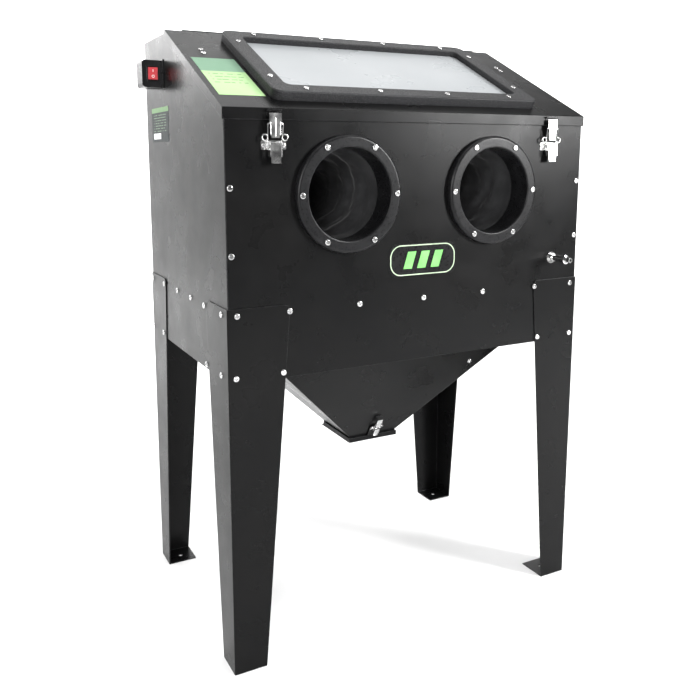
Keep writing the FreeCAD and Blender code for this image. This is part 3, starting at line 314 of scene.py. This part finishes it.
def gauntlet(side, mirror):
    """Long rubber glove: cuff round the arm ring's tube, creased sleeve, wrist bead, palm and fingers."""
    node = side + "_glove"
    low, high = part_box(node)
    middle = (low + high) / 2
    radius = (high.x - low.x) / 2
    reach = high.y - low.y
    wall = 0.002
    taper = [(0.0, 1.0), (0.12, 1.0), (0.2, 0.96), (0.36, 0.84), (0.56, 0.60), (0.64, 0.50), (0.70, 0.44)]

    def skin(t, angle, inset):
        """Radius of the sleeve at t of its reach; folds deepen towards the wrist."""
        free = smooth_step(t, 0.13, 0.26)
        where = Vector((math.cos(angle) * 1.6 + 7.0 * mirror, math.sin(angle) * 1.6, t * 7.0))
        wander = noise.noise(where)
        fold = math.sin(t * 46.0 + 2.6 * wander + 1.3 * math.sin(angle + mirror) + 0.7 * math.sin(2 * angle))
        crease = noise.noise(where * 2.7 + Vector((3.1, 0.4, 9.2)))
        sag = 0.035 * math.cos(angle + math.pi / 2) * free
        depth = free * (0.055 * (0.5 - 0.5 * fold) + 0.035 * abs(crease) + 0.03 * (0.5 + wander * 0.5))
        return radius * (between(taper, t) * (1 - depth) - max(0.0, -sag) * 0.4) - inset

    def ring(t, inset, around=112):
        y = low.y + t * reach
        points = []
        for a in [math.tau * i / around for i in range(around)]:
            r = skin(t, a, inset)
            points.append(Vector((middle.x + math.cos(a) * r, y, middle.z + math.sin(a) * r)))
        return points

    bm = bmesh.new()
    ring_count = 96
    stations = [taper[-1][0] * k / ring_count for k in range(ring_count + 1)]
    outer = [ring(t, 0.0) for t in stations]
    inner = [ring(t, wall) for t in reversed(stations)]
    loft(bm, [inner[-1]] + outer + inner)
    bmesh.ops.remove_doubles(bm, verts=bm.verts, dist=1e-6)

    def slab(t, half_width, half_depth, drop):
        """Cross-section of the hand: a flattened, squarish oval."""
        y = low.y + t * reach
        points = []
        for i in range(48):
            a = math.tau * i / 48
            c, s = math.cos(a), math.sin(a)
            points.append(Vector((middle.x + math.copysign(abs(c) ** 0.8, c) * half_width, y,
                                  middle.z - drop + math.copysign(abs(s) ** 0.85, s) * half_depth)))
        return points

    hand = [(0.67, 0.036, 0.036, 0.0), (0.695, 0.041, 0.041, 0.0), (0.71, 0.0435, 0.0435, 0.0),
            (0.72, 0.0435, 0.0435, 0.0), (0.735, 0.036, 0.034, 0.0), (0.77, 0.037, 0.028, 0.001),
            (0.81, 0.042, 0.023, 0.002), (0.86, 0.044, 0.020, 0.003), (0.90, 0.0435, 0.017, 0.004),
            (0.915, 0.041, 0.014, 0.005), (0.925, 0.034, 0.009, 0.006)]
    loft(bm, [slab(*station) for station in hand], True, True)
    knuckle = low.y + 0.895 * reach
    for x, tip, thick in ((-0.031, 0.972, 0.0098), (-0.0105, 0.997, 0.0104), (0.0105, 0.999, 0.0106),
                          (0.031, 0.982, 0.0100)):
        finger(bm, (middle.x + x * mirror, knuckle, middle.z - 0.004),
               (middle.x + x * mirror * 0.98, low.y + tip * reach, middle.z - 0.004), thick, 0.006)
    finger(bm, (middle.x + 0.030 * mirror, low.y + 0.79 * reach, middle.z - 0.012),
           (middle.x + 0.040 * mirror, low.y + 0.93 * reach, middle.z - 0.028), 0.0115, 0.002)
    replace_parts(new_piece(side + "_gauntlet", bm, MATERIALS["rubber"], "cabinet"), node)


def slab_piece(name, outline, thickness, place, across, up, material, body, holes=()):
    """Thin plate from a closed outline in the plane of across and up, with an optional inner outline."""
    bm = bmesh.new()
    out = Vector(across).cross(Vector(up)).normalized()
    place, across, up = Vector(place), Vector(across), Vector(up)

    def at(points, lift):
        return [place + across * u + up * v + out * lift for u, v in points]
    if holes:
        loft(bm, [at(outline, 0.0), at(outline, thickness), at(holes, thickness), at(holes, 0.0)])
    else:
        loft(bm, [at(outline, 0.0), at(outline, thickness)], True, True)
    return new_piece(name, bm, material, body, smooth=False)


def rounded_outline(half_u, half_v, radius, steps=10):
    points = []
    flat_u, flat_v = half_u - radius, half_v - radius
    for cu, cv, start in ((1, 1, 0), (-1, 1, 90), (-1, -1, 180), (1, -1, 270)):
        for k in range(steps + 1):
            a = math.radians(start + 90 * k / steps)
            points.append((cu * flat_u + radius * math.cos(a), cv * flat_v + radius * math.sin(a)))
    return points


def badge_marks():
    """Neutral badge: a thin pale border and three slanted bars."""
    margin, border, lift = 0.002, 0.0024, 0.0004
    low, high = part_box("badge")
    middle = (low + high) / 2
    half_u, half_v = (high.x - low.x) / 2 - margin, (high.z - low.z) / 2 - margin
    place = (middle.x, low.y, middle.z)
    across, up = (1, 0, 0), (0, 0, 1)
    corner = half_v * 0.8
    slab_piece("badge_border", rounded_outline(half_u, half_v, corner), lift, place, across, up,
               MATERIALS["badge_print"], "cabinet",
               holes=rounded_outline(half_u - border, half_v - border, corner - border))
    height = 0.019
    for k, u in enumerate((-0.040, -0.004, 0.032)):
        bar = [(u - 0.012, -height), (u + 0.010, -height), (u + 0.022, height), (u, height)]
        slab_piece("badge_bar_%d" % (k + 1), bar, lift, place, across, up, MATERIALS["badge_mark"],
                   "cabinet")


def rocker_marks():
    """On and off marks, a bar and a circle, flat on the rocker's front."""
    rise, lift, ring_r, sides = 0.0065, 0.0003, 0.0034, 28
    low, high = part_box("switch_rocker")
    middle = (low + high) / 2
    face = low.y + 0.0016
    bar = rounded_outline(0.0008, 0.0032, 0.0007, 4)
    slab_piece("rocker_on_mark", bar, lift, (middle.x, face, middle.z + rise), (1, 0, 0), (0, 0, 1),
               MATERIALS["mark_white"], "rocker")
    turn = [math.tau * k / sides for k in range(sides)]
    circle = [(ring_r * math.cos(a), ring_r * math.sin(a)) for a in turn]
    inside = [(u * 0.62, v * 0.62) for u, v in circle]
    slab_piece("rocker_off_mark", circle, lift, (middle.x, face, middle.z - rise), (1, 0, 0), (0, 0, 1),
               MATERIALS["mark_white"], "rocker", holes=inside)


def label_box():
    """Blank white panel near the foot of the side label."""
    low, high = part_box("side_label")
    deep, tall = high.y - low.y, high.z - low.z
    slab_piece("side_label_panel", rounded_outline(deep * 0.22, tall * 0.085, 0.001, 3), 0.0003,
               (low.x, high.y - deep * 0.32, low.z + tall * 0.17), (0, -1, 0), (0, 0, 1),
               MATERIALS["mark_white"], "cabinet")


MATERIALS["badge_print"] = moulded("badge_border_green", (0.33, 0.42, 0.29), 0.42)
MATERIALS["badge_mark"] = moulded("badge_bar_green", (0.12, 0.40, 0.09), 0.42)
MATERIALS["mark_white"] = moulded("printed_white", (0.78, 0.78, 0.77), 0.45)
gauntlet("left", -1)
gauntlet("right", 1)
badge_marks()
rocker_marks()
label_box()


# ------------------------------------------------------------------ studio
def floor():
    """Seamless pale sheet that curves up far behind the object."""
    mesh = bpy.data.meshes.new("studio_floor")
    bm = bmesh.new()
    rows = []
    half_width, front, back, bend, top = 14.0, -9.0, 7.0, 3.0, 12.0
    profile = [(front, 0.0), (back, 0.0)]
    for k in range(1, 11):
        a = math.radians(9 * k)
        profile.append((back + bend * math.sin(a), bend - bend * math.cos(a)))
    profile.append((back + bend, top))
    for y, z in profile:
        rows.append([bm.verts.new((x, y, z)) for x in (-half_width, half_width)])
    for a, b in zip(rows, rows[1:]):
        bm.faces.new((a[0], a[1], b[1], b[0]))
    bm.to_mesh(mesh)
    bm.free()
    for face in mesh.polygons:
        face.use_smooth = True
    sheet = bpy.data.objects.new("studio_floor", mesh)
    bpy.context.collection.objects.link(sheet)
    look = Look("studio_paper").set(Specular_IOR_Level=0.2)
    cloud = look.remap(look.noise(1.2, 2.0), 0.3, 0.7, 0.0, 1.0)
    look.link(look.mix(cloud, (0.86, 0.86, 0.86), (0.89, 0.89, 0.89)), "Base Color")
    look.link(look.remap(look.noise(6.0, 2.0), 0.3, 0.7, 0.7, 0.8), "Roughness")
    mesh.materials.append(look.mat)


def area_light(name, place, aim, size, watts):
    lamp = bpy.data.lights.new(name, "AREA")
    lamp.shape = "RECTANGLE"
    lamp.size, lamp.size_y = size
    lamp.energy = watts
    holder = bpy.data.objects.new(name, lamp)
    holder.location = place
    holder.rotation_euler = (Vector(aim) - Vector(place)).to_track_quat("-Z", "Y").to_euler()
    holder.visible_camera = False
    bpy.context.collection.objects.link(holder)


def studio():
    """Even surroundings that look paler to the camera than the light they give, and six soft lights."""
    ambient, extra_to_camera = 0.16, 0.80
    world = bpy.data.worlds.new("studio")
    world.use_nodes = True
    back = world.node_tree.nodes["Background"]
    back.inputs["Color"].default_value = (1.0, 1.0, 1.0, 1.0)
    path = world.node_tree.nodes.new("ShaderNodeLightPath")
    level = world.node_tree.nodes.new("ShaderNodeMath")
    level.operation = "MULTIPLY_ADD"
    level.inputs[1].default_value = extra_to_camera
    level.inputs[2].default_value = ambient
    world.node_tree.links.new(path.outputs["Is Camera Ray"], level.inputs[0])
    world.node_tree.links.new(level.outputs["Value"], back.inputs["Strength"])
    bpy.context.scene.world = world
    bpy.context.scene.view_settings.view_transform = "Standard"
    floor()
    area_light("top", (0.2, 0.6, 5.6), (0.2, 0.6, 0.0), (7.0, 7.0), 350)
    area_light("backdrop", (1.0, 3.0, 5.6), (1.5, 9.5, 3.0), (9.0, 2.5), 1300)
    area_light("backdrop_right", (7.5, 3.0, 5.0), (11.5, 9.0, 3.2), (7.0, 2.5), 1300)
    area_light("side_card", (-2.25, 3.6, 2.9), (-0.46, 0.0, 1.15), (1.9, 2.6), 125)
    area_light("key", (-2.6, -3.4, 1.9), (0.0, -0.2, 1.0), (1.4, 1.8), 140)
    area_light("front_card", (2.55, -3.0, 2.0), (0.1, -0.3, 1.1), (0.9, 1.6), 250)


def camera():
    lens = bpy.data.cameras.new("camera")
    lens.sensor_width = 36.0
    lens.lens = 40.26
    lens.shift_x = 0.0206
    lens.shift_y = -0.1020
    lens.clip_start = 0.05
    holder = bpy.data.objects.new("camera", lens)
    holder.location = (-0.9637, -1.7166, 1.0961)
    holder.rotation_euler = Euler([math.radians(a) for a in (81.241, 0.134, -27.228)])
    bpy.context.collection.objects.link(holder)
    bpy.context.scene.camera = holder


camera()
studio()
